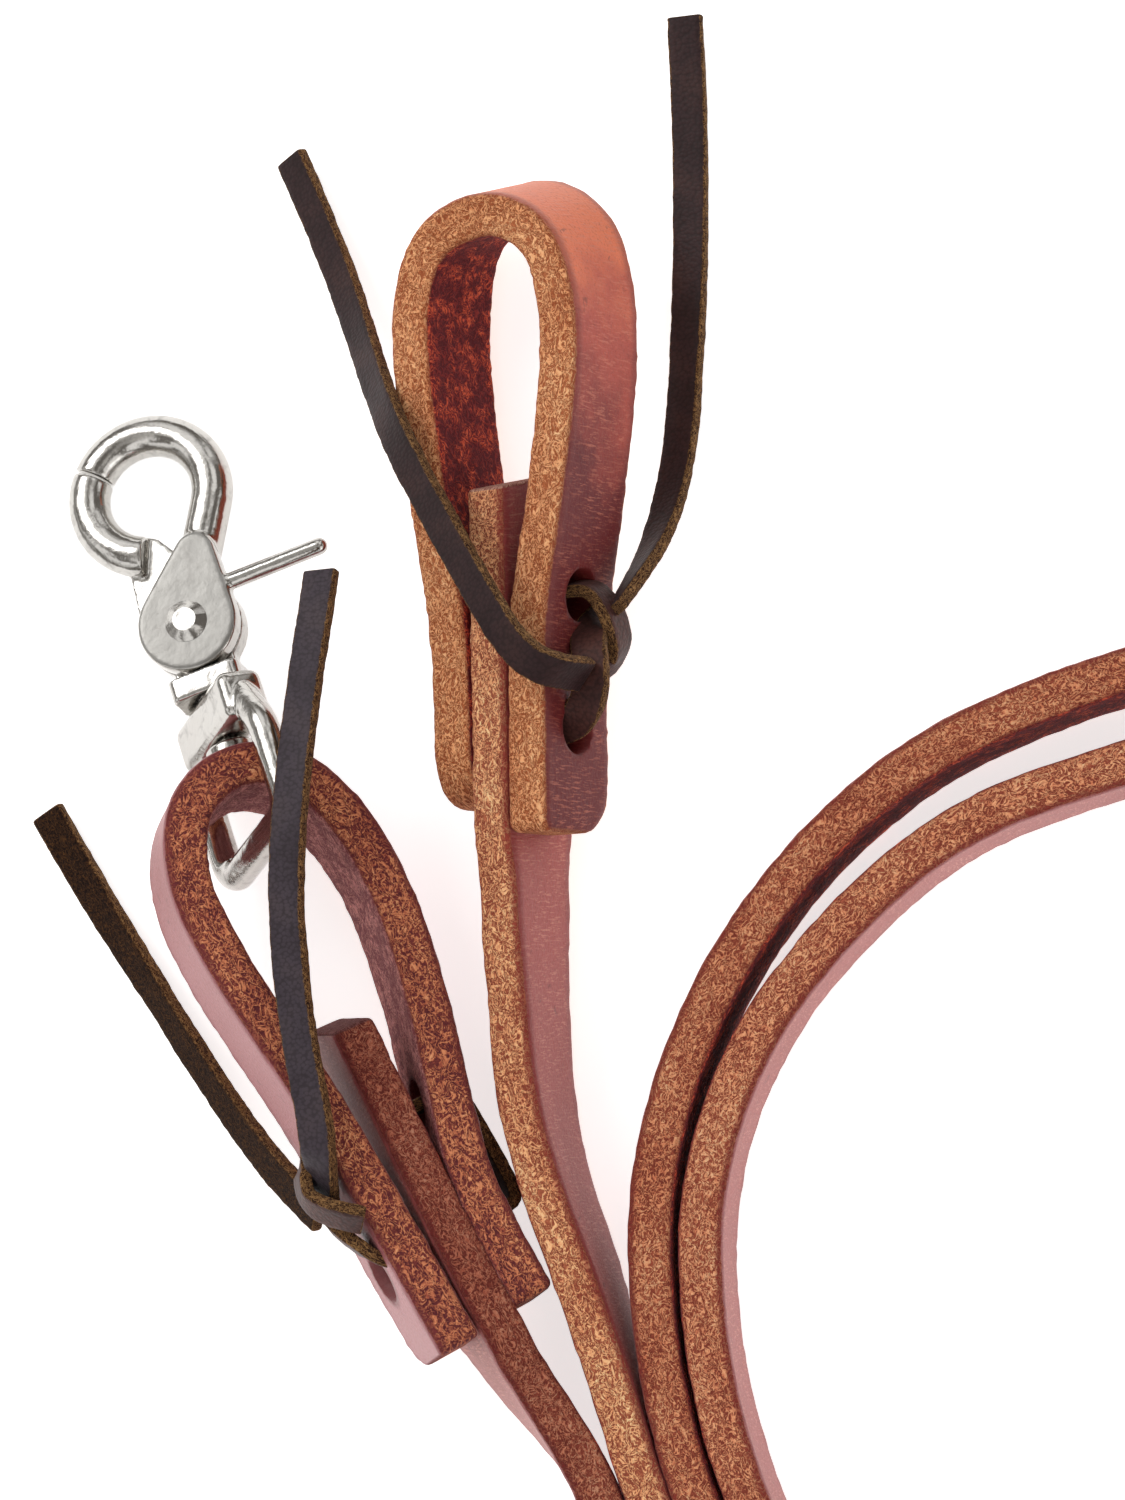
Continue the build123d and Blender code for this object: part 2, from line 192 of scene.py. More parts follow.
def station_list(length, step, tips):
    """Distances along a band: evenly spaced, and close together where its ends are rounded."""
    stations = set(np.linspace(0.0, length, max(2, round(length / step))))
    for end, radius in tips:
        for k in range(9):
            offset = radius * (1 - cos(radians(90 * k / 8)))
            stations.add(offset if end == 0 else length - offset)
    ordered = sorted(stations)
    kept = [ordered[0]]
    for s in ordered[1:]:
        if s - kept[-1] > 0.00008:
            kept.append(s)
    kept[-1] = length
    return np.array(kept)


def fibre(x, y, z, size):
    """Seeded roughness from -1 to 1 at a place in the leather."""
    return noise.noise(Vector((x / size, y / size, z / size)))


def band(name, controls, widths, size, options):
    """A leather band along a line. widths(share, distance) gives the direction of its width."""
    points = nurbs_line(controls)
    lengths = arc_lengths(points)
    half_x, half_z = size[0] / 2, size[1] / 2
    corner = options.get("corner", 0.0009)
    start_tip = options.get("start_tip", SQUARE_TIP)
    end_tip = options.get("end_tip", SQUARE_TIP)
    stations = station_list(lengths[-1], options["step"], [(0, max(start_tip)), (1, max(end_tip))])
    centres = at_stations(points, lengths, stations)
    tangents = unit(np.gradient(centres, stations, axis=0))
    shares = stations / lengths[-1]
    wanted = np.array([widths(t, s) for t, s in zip(shares, stations)])
    width = unit(wanted - tangents * np.sum(wanted * tangents, axis=1)[:, None])
    side = np.cross(tangents, width)
    skew = options.get("skew")
    if skew:
        width = width + tangents * np.array([skew(t) for t in shares])[:, None]
    edge_steps, face_steps = options.get("steps", (7, 14))
    outline = band_outline(half_x, half_z, corner, edge_steps, face_steps)
    rough = options.get("rough", STRAP_ROUGH)
    grain_side = options.get("grain_side", 1)
    vertices, strap = [], []
    for i, s in enumerate(stations):
        low_a, high_a = tip_range(s, *start_tip, half_z)
        low_b, high_b = tip_range(lengths[-1] - s, *end_tip, half_z)
        low, high = max(low_a, low_b), min(high_a, high_b)
        end_gap = min(s, lengths[-1] - s)
        pinch = corner - sqrt(max(0.0, corner ** 2 - max(0.0, corner - end_gap) ** 2))
        for x, z in outline:
            zz = low + (z + half_z) * (high - low) / (2 * half_z)
            xx = x * (1 - 0.5 * pinch / half_x)
            raw = abs(z) > half_z - corner or x * grain_side < -half_x + corner
            fine = fibre(xx, s, zz, FIBRE_SIZE) if raw else FACE_SHARE * fibre(xx, s, zz, FACE_WAVE)
            slow = (0.8 if raw else 0.4) * fibre(xx, s, zz, SLOW_WAVE)
            bump = rough * (fine + slow)
            outward_x = np.sign(x) if abs(x) > half_x - corner else 0.0
            outward_z = np.sign(z) if abs(z) > half_z - corner else 0.0
            place = centres[i] + side[i] * (xx + bump * outward_x) + width[i] * (zz + bump * outward_z)
            vertices.append(place)
            strap.append((x * grain_side, s, z, 1.0 if end_gap < corner / 3 else 0.0))
    return finish_band(name, vertices, strap, len(stations), len(outline)), points


def finish_band(name, vertices, strap, rings, sides):
    mesh = bpy.data.meshes.new(name)
    faces = []
    for i in range(rings - 1):
        for j in range(sides):
            k = (j + 1) % sides
            faces.append((i * sides + j, (i + 1) * sides + j, (i + 1) * sides + k, i * sides + k))
    last = (rings - 1) * sides
    faces.append(tuple(range(sides)))
    faces.append(tuple(last + j for j in reversed(range(sides))))
    mesh.from_pydata([tuple(v) for v in vertices], [], faces)
    store_strap(mesh, np.array(strap, np.float32))
    outward_faces(mesh)
    mesh.shade_smooth()
    piece = bpy.data.objects.new(name, mesh)
    bpy.context.scene.collection.objects.link(piece)
    return piece


def store_strap(mesh, values):
    """Keeps each vertex's place in the strap and whether it is on a cut end."""
    attribute = mesh.attributes.new("strap", "FLOAT_VECTOR", "POINT")
    attribute.data.foreach_set("vector", values[:, :3].ravel())
    attribute = mesh.attributes.new("tip", "FLOAT", "POINT")
    attribute.data.foreach_set("value", values[:, 3].copy())


def outward_faces(mesh):
    work = bmesh.new()
    work.from_mesh(mesh)
    bmesh.ops.recalc_face_normals(work, faces=work.faces)
    work.to_mesh(mesh)
    work.free()


# ---- Punched holes ----
def strap_places(mesh):
    """What the vertices keep about the strap, and a tree to find the nearest of them."""
    places = [v.co.copy() for v in mesh.vertices]
    values = np.zeros(len(places) * 3, np.float32)
    mesh.attributes["strap"].data.foreach_get("vector", values)
    tips = np.zeros(len(places), np.float32)
    mesh.attributes["tip"].data.foreach_get("value", tips)
    tree = kdtree.KDTree(len(places))
    for i, place in enumerate(places):
        tree.insert(place, i)
    tree.balance()
    return np.concatenate([values.reshape(-1, 3), tips[:, None]], axis=1), tree


def punch(piece, matrix, reach):
    """Cuts the two lace holes of a tied end and marks how near each vertex is to a hole's rim."""
    values, tree = strap_places(piece.data)
    for side in (-1, 1):
        bpy.ops.mesh.primitive_cylinder_add(vertices=32, radius=HOLE_D / 2, depth=reach)
        drill = bpy.context.object
        across = Matrix.Rotation(pi / 2, 4, "Y")
        drill.matrix_world = matrix @ Matrix.Translation((0, side * HOLE_PITCH / 2, 0)) @ across
        cut = piece.modifiers.new("hole", "BOOLEAN")
        cut.object = drill
        cut.solver = "EXACT"
        depsgraph = bpy.context.evaluated_depsgraph_get()
        piece.data = bpy.data.meshes.new_from_object(piece.evaluated_get(depsgraph))
        piece.modifiers.clear()
        bpy.data.objects.remove(drill)
    mesh = piece.data
    mesh.name = piece.name
    strap, rim = [], []
    local = matrix.inverted()
    for v in mesh.vertices:
        found = tree.find_n(v.co, 3)
        weights = np.array([1.0 / (d + 1e-7) for _, _, d in found])
        strap.append((values[[i for _, i, _ in found]] * weights[:, None]).sum(0) / weights.sum())
        p = local @ v.co
        gap = min(Vector((p.y - s * HOLE_PITCH / 2, p.z)).length for s in (-1, 1)) - HOLE_D / 2
        rim.append(max(0.0, 1.0 - max(gap, 0.0) / RIM_REACH) if abs(p.x) < reach / 2 else 0.0)
    for name in ("strap", "tip"):
        mesh.attributes.remove(mesh.attributes[name])
    store_strap(mesh, np.array(strap, np.float32))
    attribute = mesh.attributes.new("rim", "FLOAT", "POINT")
    attribute.data.foreach_set("value", np.array(rim, np.float32))
    mesh.shade_smooth()


# ---- The rein: one strap from one tied end, round the coil, folded and back to the other ----
COIL_CENTRE = (0.095, -0.070)
COIL_START = 196.0
FOLD_ANGLE = 805.0
PASS_GAP = 0.0063
COIL_RADII = [
    (196.0, 0.0948), (240.0, 0.0940), (285.0, 0.0930), (330.0, 0.0930), (375.0, 0.0915), (420.0, 0.0860),
    (466.0, 0.0817), (495.0, 0.0844), (525.0, 0.0849), (556.0, 0.0823), (600.0, 0.0812), (645.0, 0.0804),
    (690.0, 0.0796), (735.0, 0.0775), (775.0, 0.0742), (805.0, 0.0720),
]
COIL_FAN = [
    (196.0, 0.0), (375.0, 0.0), (466.0, 0.0054), (495.0, 0.0034), (525.0, 0.0004), (556.0, 0.0), (755.0, 0.0),
    (805.0, 0.009),
]
COIL_STEP = 14.5
BIGHT_TURN = 15.0               # how far the bend of the fold reaches past its straps
# How far the rein's cut ends slant: (share of the length, slant per width).
CUT_SLANT = [(0.0, 0.22), (0.006, 0.0), (0.994, 0.0), (1.0, -0.22)]
SPLINE_SHRINK = (3 + cos(radians(COIL_STEP))) / 4       # how much nearer the centre a quadratic spline runs
FLOOR_Z = STRAP_WIDTH / 2
REIN_A_ROUTE = [
    (-0.0056, -0.0400, 0.0083), (-0.0032, -0.0535, FLOOR_Z), (0.0019, -0.0674, FLOOR_Z),
    (0.0061, -0.0809, FLOOR_Z), (0.00993, -0.09439, FLOOR_Z),
]
REIN_B_ROUTE = [(-0.0070, -0.0808, 0.0088), (0.0006, -0.0904, FLOOR_Z), (0.0036, -0.0962, FLOOR_Z)]
REIN_END_A = 0.0245
REIN_END_B = 0.0230
TAIL_END_A = -0.0202
TAIL_END_B = -0.0210
TWIST_LENGTH_A = 0.085          # the rein stands upright this far past each tie
TWIST_LENGTH_B = 0.045
# How much of the ties' lean the rein keeps: (share of the twist, share of the lean).
UPRIGHT_A = [(0.0, 1.0), (0.12, 0.74), (0.32, 0.52), (0.6, 0.30), (1.0, 0.0)]
UPRIGHT_B = [(0.0, 1.0), (0.12, 0.78), (0.5, 0.4), (1.0, 0.0)]


def coil_place(angle, layer):
    radius = blend_table(COIL_RADII, angle) - layer * (PASS_GAP + blend_table(COIL_FAN, angle))
    reach = radius / SPLINE_SHRINK
    a = radians(angle)
    return Vector((COIL_CENTRE[0] + reach * cos(a), COIL_CENTRE[1] + reach * sin(a), FLOOR_Z))


def rein_controls():
    """Control points of the rein's centre line, from its end in loop a to its end in loop b."""
    turns = round((FOLD_ANGLE - COIL_START) / COIL_STEP)
    angles = [COIL_START + (FOLD_ANGLE - COIL_START) * i / turns for i in range(1, turns + 1)]
    bight = FOLD_ANGLE + BIGHT_TURN
    inner = [coil_place(a, 1) for a in angles]
    outer = [coil_place(a, 0) for a in reversed(angles)]
    fold = [coil_place(bight, 1), coil_place(bight, 0)]
    tied_a = ((0.0, REIN_END_A), (0.0, 0.002), (0.0, TAIL_END_A))
    tied_b = ((0.0, TAIL_END_B), (0.0010, 0.001), (0.0026, REIN_END_B))
    block_a = [LOOP_A @ Vector((u, v, 0)) for u, v in tied_a]
    block_b = [LOOP_B @ Vector((u, v, 0)) for u, v in tied_b]
    coil = inner + fold + outer
    return block_a + plan(REIN_A_ROUTE) + plan(coil) + plan(reversed(REIN_B_ROUTE)) + block_b


def rein_widths(total):
    """The rein leans with its ties at both ends and stands upright between them."""
    block_a = REIN_END_A - TAIL_END_A
    block_b = total - (REIN_END_B - TAIL_END_B)
    lean_a = LOOP_A.col[2].to_3d()
    lean_b = LOOP_B.col[2].to_3d()

    def width_at(share, distance):
        if distance < total / 2:
            past = max(0.0, distance - block_a) / TWIST_LENGTH_A
            keep = blend_table(UPRIGHT_A, past)
            return lean_a * keep + UP * (1 - keep)
        past = max(0.0, block_b - distance) / TWIST_LENGTH_B
        keep = blend_table(UPRIGHT_B, past)
        return lean_b * keep + UP * (1 - keep)
    return width_at


def make_rein():
    controls = rein_controls()
    total = arc_lengths(nurbs_line(controls))[-1]
    size = (STRAP_THICK - TIE_CLEAR, STRAP_WIDTH)
    options = {"grain_side": -1, "step": 0.0012, "skew": lambda share: blend_table(CUT_SLANT, share)}
    rein, line = band("rein_strap", controls, rein_widths(total), size, options)
    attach(rein, "reins")
    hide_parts("rein_strap_a", "rein_coil", "rein_strap_b")
    print("rein length", round(total, 4))
    return rein


rein = make_rein()

# ---- Lace tails: free cords from the knots ----
TAILS = {
    "lace_tail_a_left": [
        (0.0034, 0.0094, 0.0196), (0.0006, 0.0088, 0.0266), (-0.0042, 0.0114, 0.0274),
        (-0.0100, 0.0210, 0.0260), (-0.0160, 0.0314, 0.0230), (-0.0218, 0.0418, 0.0194),
        (-0.0266, 0.0520, 0.0110), (-0.0306, 0.0620, 0.0050), (-0.0350, 0.0730, 0.0026),
        (-0.0400, 0.0840, 0.0020),
    ],
    "lace_tail_a_right": [
        (0.0068, 0.0180, 0.0160), (0.0090, 0.0225, 0.0120), (0.0116, 0.0300, 0.0064),
        (0.0136, 0.0400, 0.0032), (0.0145, 0.0520, 0.0024), (0.0151, 0.0660, 0.0024),
        (0.0152, 0.0790, 0.0024), (0.0150, 0.0905, 0.0024), (0.0145, 0.1010, 0.0024),
    ],
    "lace_tail_b_front": [
        (-0.0304, -0.0574, 0.0200), (-0.0296, -0.0536, 0.0266), (-0.0302, -0.0474, 0.0274),
        (-0.0318, -0.0396, 0.0278), (-0.0332, -0.0296, 0.0282), (-0.0338, -0.0196, 0.0287),
        (-0.0334, -0.0088, 0.0288), (-0.0327, 0.0018, 0.0270), (-0.0319, 0.0130, 0.0240),
        (-0.0311, 0.0236, 0.0205),
    ],
    "lace_tail_b_left": [
        (-0.0324, -0.0602, 0.0140), (-0.0376, -0.0560, 0.0100), (-0.0454, -0.0476, 0.0054),
        (-0.0534, -0.0364, 0.0030), (-0.0606, -0.0256, 0.0022), (-0.0674, -0.0152, 0.0020),
        (-0.0732, -0.0054, 0.0020),
    ],
}
# Which way each tail's grain face looks along it: (share of the tail, direction).
TAIL_FACES = {
    "lace_tail_a_left": [
        (0.0, (0.2, -0.5, 0.9)), (0.15, (-0.1, -0.6, 0.8)), (0.5, (-0.4, -0.3, 0.9)),
        (1.0, (-0.5, -0.2, 0.9)),
    ],
    "lace_tail_a_right": [(0.0, (-0.75, 0.1, 0.6)), (0.3, (-0.45, 0.0, 0.9)), (1.0, (-0.1, 0.0, 1.0))],
    "lace_tail_b_front": [(0.0, (-0.35, 0.0, 0.95)), (0.5, (-0.30, 0.0, 0.95)), (1.0, (-0.30, 0.0, 0.95))],
    "lace_tail_b_left": [(0.0, (0.5, 0.4, -0.9)), (0.5, (0.55, 0.4, -0.8)), (1.0, (0.2, 0.1, -1.0))],
}
LACE = (LACE_THICK, LACE_WIDTH)
LACE_OPTIONS = {
    "corner": 0.0004, "step": 0.0006, "steps": (3, 7), "rough": LACE_ROUGH,
    "start_tip": LACE_TIP, "end_tip": LACE_TIP,
}


def blend_direction(table, at):
    parts = [[(p, v[k]) for p, v in table] for k in range(3)]
    return Vector([blend_table(part, at) for part in parts])


def face_widths(controls, faces):
    """Width direction of a ribbon from the directions that its grain face looks in."""
    line = nurbs_line(controls)
    lengths = arc_lengths(line)
    tangents = unit(np.gradient(line, axis=0))

    def width_at(share, distance):
        tangent = Vector([np.interp(distance, lengths, tangents[:, k]) for k in range(3)])
        return blend_direction(faces, share).cross(tangent)
    return width_at


def make_tail(name):
    controls = plan(TAILS[name])
    widths = face_widths(controls, TAIL_FACES[name])
    tail, line = band(name + "_lace", controls, widths, LACE, LACE_OPTIONS)
    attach(tail, "reins")
    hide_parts(name)
    return tail


tails = [make_tail(name) for name in TAILS]


# ---- Bit loops ----
# Centre lines in the loops' own frames: across, along.
LOOP_A_LINE = [
    (-0.0058, -0.0186), (-0.0058, 0.0030), (-0.0078, 0.0130), (-0.0097, 0.0260), (-0.0112, 0.0370),
    (-0.0119, 0.0480), (-0.0092, 0.0584), (0.0000, 0.0621), (0.0086, 0.0578), (0.0117, 0.0478),
    (0.0116, 0.0370), (0.0093, 0.0220), (0.0064, 0.0080), (0.0058, 0.0000), (0.0058, -0.0224),
]
LOOP_B_LINE = [
    (-0.0058, -0.0214), (-0.0058, 0.0060), (-0.0062, 0.0170), (-0.0073, 0.0280), (-0.0079, 0.0380),
    (-0.0073, 0.0482), (-0.0024, 0.0571), (0.0064, 0.0594), (0.0136, 0.0545), (0.0164, 0.0440),
    (0.0160, 0.0330), (0.0134, 0.0210), (0.0094, 0.0080), (0.0066, -0.0020), (0.0059, -0.0100),
    (0.0058, -0.0205),
]
APEX_LEAN = [(0.0, 0.0), (0.3, 0.0), (0.46, 1.0), (0.56, 1.0), (0.72, 0.0), (1.0, 0.0)]
DRILL_REACH = 0.05


def make_loop(name, matrix, line, tips, shear):
    """A strap bent to a U with rounded ends; shear leans the apex over along the loop."""
    controls = [matrix @ Vector((u, v, 0)) for u, v in line]
    up = matrix.col[2].to_3d()
    along = matrix.col[1].to_3d()

    def widths(share, distance):
        return up - along * shear * blend_table(APEX_LEAN, share)
    size = (STRAP_THICK, STRAP_WIDTH)
    options = {
        "grain_side": -1, "start_tip": tips[0], "end_tip": tips[1], "step": 0.0008, "steps": (9, 18),
    }
    loop, _ = band(name + "_strap", controls, widths, size, options)
    punch(loop, matrix, DRILL_REACH)
    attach(loop, "reins")
    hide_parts(name)
    return loop


TIPS_A = ((0.0070, 0.0045), (0.0018, 0.0068))
TIPS_B = ((0.0014, 0.0060), (0.0012, 0.0030))
loop_a = make_loop("bit_loop_a", LOOP_A, LOOP_A_LINE, TIPS_A, 0.29)
loop_b = make_loop("bit_loop_b", LOOP_B, LOOP_B_LINE, TIPS_B, 0.0)


# ---- Knots: the lace's strands in the frame of each tied end ----
# Each strand: places (across, along, up the width) and the directions its grain face looks in.
KNOT_A = {
    "over": (
        [
            (0.0030, 0.0087, 0.0000), (0.0080, 0.0098, -0.0008), (0.0108, 0.0096, -0.0012),
            (0.0128, 0.0074, -0.0016), (0.0135, 0.0046, -0.0026), (0.0131, 0.0020, -0.0040),
            (0.0114, 0.0002, -0.0050), (0.0101, -0.0008, -0.0030), (0.0103, -0.0016, 0.0005),
            (0.0118, -0.0022, 0.0032),
        ],
        [
            (0.0, (0.0, 1.0, 0.0)), (0.25, (0.7, 0.7, 0.1)), (0.5, (1.0, 0.1, 0.0)),
            (0.75, (0.8, -0.5, -0.3)), (1.0, (0.3, -0.9, 0.3)),
        ],
    ),
    "under": (
        [
            (0.0098, 0.0084, -0.0074), (0.0097, 0.0056, -0.0050), (0.0103, 0.0040, -0.0012),
            (0.0113, 0.0022, 0.0010), (0.0122, 0.0000, 0.0020), (0.0125, -0.0026, 0.0022),
            (0.0117, -0.0056, 0.0018), (0.0098, -0.0076, 0.0014), (0.0070, -0.0086, 0.0006),
            (0.0030, -0.0087, 0.0000),
        ],
        [
            (0.0, (0.9, 0.0, 0.4)), (0.3, (0.35, 0.1, 1.0)), (0.6, (0.1, 0.0, 1.0)), (0.85, (0.3, -0.6, 0.8)),
            (1.0, (0.0, -1.0, 0.3)),
        ],
    ),
}
KNOT_B = {
    "wrap": (
        [
            (-0.0060, 0.0087, 0.0010), (-0.0094, 0.0092, 0.0030), (-0.0114, 0.0084, 0.0042),
            (-0.0128, 0.0066, 0.0044), (-0.0134, 0.0042, 0.0050), (-0.0124, 0.0018, 0.0068),
            (-0.0106, -0.0004, 0.0088), (-0.0092, -0.0016, 0.0090),
        ],
        [(0.0, (-1.0, 0.3, 0.2)), (0.5, (-1.0, -0.2, 0.1)), (1.0, (-0.7, -0.6, 0.3))],
    ),
    "lower": (
        [
            (-0.0108, 0.0034, -0.0016), (-0.0112, 0.0010, 0.0004), (-0.0110, -0.0012, 0.0022),
            (-0.0104, -0.0034, 0.0036), (-0.0094, -0.0056, 0.0042), (-0.0074, -0.0076, 0.0030),
            (-0.0030, -0.0087, 0.0004),
        ],
        [(0.0, (-0.8, 0.3, -0.5)), (0.5, (-0.9, -0.3, -0.2)), (1.0, (-0.2, -1.0, 0.0))],
    ),
}


def lace_strand(name, matrix, places, faces):
    """One strand of a knot, from places and grain directions in the frame of its tied end."""
    controls = [matrix @ Vector(p) for p in places]
    turned = [(at, tuple(matrix.to_3x3() @ Vector(d))) for at, d in faces]
    strand, _ = band(name, controls, face_widths(controls, turned), LACE, LACE_OPTIONS)
    return strand


def make_knot(name, matrix, strands, side, slack):
    """The knotted strands in front of a tied end and the bridge of lace behind it; side is -1 or 1."""
    made = [lace_strand(name + "_" + part, matrix, *strand) for part, strand in strands.items()]
    out = side * (1.5 * STRAP_THICK + LACE_THICK / 2 + slack)
    reach = HOLE_PITCH / 2
    places = [
        (0.0, reach, 0.0), (out * 0.85, reach, 0.0), (out, reach * 0.9, 0.0), (out, 0.0, 0.0),
        (out, -reach * 0.9, 0.0), (out * 0.85, -reach, 0.0), (0.0, -reach, 0.0),
    ]
    faces = [(0.0, (0, 1, 0)), (0.3, (side, 0.4, 0)), (0.7, (side, -0.4, 0)), (1.0, (0, -1, 0))]
    made.append(lace_strand(name + "_bridge", matrix, places, faces))
    for strand in made:
        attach(strand, "reins")
    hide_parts(name)
    return made


knots = make_knot("tie_lace_a", LOOP_A, KNOT_A, -1, KNOT_SLACK_A)
knots += make_knot("tie_lace_b", LOOP_B, KNOT_B, 1, KNOT_SLACK_B)


# ---- Shader helpers ----
PER_METRE = (1000.0, 1000.0, 1000.0)    # the patterns are laid out in millimetres


def srgb(text):
    """A colour written as six hexadecimal digits, as linear red, green, blue and alpha."""
    channels = [int(text[i:i + 2], 16) / 255 for i in (0, 2, 4)]
    return tuple(c / 12.92 if c <= 0.04045 else ((c + 0.055) / 1.055) ** 2.4 for c in channels) + (1.0,)


class Nodes:
    """The node tree of a new material, or of the world, with a short call for each kind of node."""

    def __init__(self, name, owner=None):
        self.material = owner or bpy.data.materials.new(name)
        self.material.use_nodes = True
        self.tree = self.material.node_tree
        self.shader = self.tree.nodes.get("Principled BSDF")

    def add(self, kind, inputs, **settings):
        node = self.tree.nodes.new(kind)
        for key, value in settings.items():
            setattr(node, key, value)
        for key, value in inputs.items():
            self.put(node.inputs[key], value)
        return node

    def put(self, socket, value):
        if isinstance(value, bpy.types.NodeSocket):
            self.tree.links.new(value, socket)
        elif value is not None:
            socket.default_value = value

    def set(self, **values):
        for key, value in values.items():
            self.put(self.shader.inputs[key.replace("_", " ")], value)

    def math(self, operation, a, b=None):
        return self.add("ShaderNodeMath", {0: a, 1: b}, operation=operation).outputs[0]

    def mix(self, share, a, b, blend="MIX"):
        node = self.add("ShaderNodeMix", {}, data_type="RGBA", blend_type=blend)
        self.put(node.inputs[0], share)
        self.put(node.inputs[6], a)
        self.put(node.inputs[7], b)
        return node.outputs[2]

    def lerp(self, share, a, b):
        node = self.add("ShaderNodeMix", {}, data_type="FLOAT")
        self.put(node.inputs[0], share)
        self.put(node.inputs[2], a)
        self.put(node.inputs[3], b)
        return node.outputs[0]

    def step(self, value, low, high):
        """0 below low, 1 above high, smooth between."""
        node = self.add("ShaderNodeMapRange", {0: value, 1: low, 2: high}, interpolation_type="SMOOTHSTEP")
        return node.outputs[0]

    def ramp(self, value, stops):
        node = self.add("ShaderNodeValToRGB", {0: value})
        elements = node.color_ramp.elements
        while len(elements) < len(stops):
            elements.new(0.5)
        for element, (at, colour) in zip(elements, stops):
            element.position = at
            element.color = srgb(colour)
        return node.outputs[0]

    def scaled(self, vector, scale):
        return self.add("ShaderNodeVectorMath", {0: vector, 1: scale}, operation="MULTIPLY").outputs[0]

    def noise(self, vector, scale, detail=3.0, roughness=0.55, distortion=0.0):
        inputs = {
            "Vector": vector, "Scale": scale, "Detail": detail, "Roughness": roughness,
            "Distortion": distortion,
        }
        return self.add("ShaderNodeTexNoise", inputs).outputs[0]

    def cells(self, vector, scale):
        inputs = {"Vector": vector, "Scale": scale}
        return self.add("ShaderNodeTexVoronoi", inputs).outputs["Distance"]

    def attribute(self, name, output="Vector"):
        return self.add("ShaderNodeAttribute", {}, attribute_name=name).outputs[output]

    def strap_mm(self):
        """The place on the unrolled strap in millimetres, before the script bends it."""
        return self.scaled(self.attribute("strap"), PER_METRE)

    def bump(self, height, strength, distance):
        inputs = {"Height": height, "Strength": strength, "Distance": distance}
        return self.add("ShaderNodeBump", inputs).outputs[0]


# ---- Leather ----
def strands(n, place, scale, turns):
    """Thin curling fibres: 1 along each fibre, 0 between them."""
    curls = n.noise(place, scale, 3.0, 0.55, 0.7)
    return n.step(n.math("SINE", n.math("MULTIPLY", curls, turns)), -0.1, 1.0)


def tangle(n, place, scale):
    """Raw leather fibre from dark gaps (0) to pale strands (1)."""
    under = n.math("MULTIPLY", strands(n, place, scale * 1.7, 34.0), 0.8)
    lines = n.math("MAXIMUM", strands(n, place, scale, 40.0), under)
    body = n.noise(place, scale * 3.0, 3.0, 0.65, 0.5)
    return n.math("ADD", n.math("MULTIPLY", body, 0.5), n.math("MULTIPLY", lines, 0.38))


def grain_face(n, strap, along, grain):
    """Dyed, rubbed grain: colour along the strap, which on loop b holds a painted sheen on one leg, fine
    cross creases, dark spots and scuffs.
    """
    drift = n.math("MULTIPLY", n.math("SUBTRACT", n.noise(strap, 0.09, 3.0, 0.6), 0.5), grain["drift"])
    colour = n.ramp(n.math("ADD", along, drift), grain["colours"])
    cross = n.noise(n.scaled(strap, (0.6, 3.2, 0.42)), 1.1, 3.0, 0.6, 0.6)
    region = n.step(n.noise(strap, 0.14, 2.0), 0.36, 0.62)
    creases = n.math("MULTIPLY", n.step(cross, 0.51, 0.64), n.lerp(region, 0.4, 1.0))
    colour = n.mix(n.math("MULTIPLY", creases, grain["crease"]), colour, srgb(grain["crease_colour"]))
    speckle = n.noise(strap, 2.4, 3.0, 0.7)
    colour = n.mix(n.math("MULTIPLY", n.step(speckle, 0.50, 0.76), 0.38), colour, srgb("421A1C"))
    spots = n.step(n.noise(strap, 0.42, 3.0, 0.6, 0.8), 0.64, 0.74)
    colour = n.mix(n.math("MULTIPLY", spots, 0.45), colour, srgb("4A1C22"))
    scuffs = n.step(n.noise(n.scaled(strap, (1, 0.7, 1)), 0.33, 4.0, 0.6, 1.2), 0.60, 0.80)
    return n.mix(n.math("MULTIPLY", scuffs, 0.28), colour, srgb(grain["scuff"])), cross, speckle


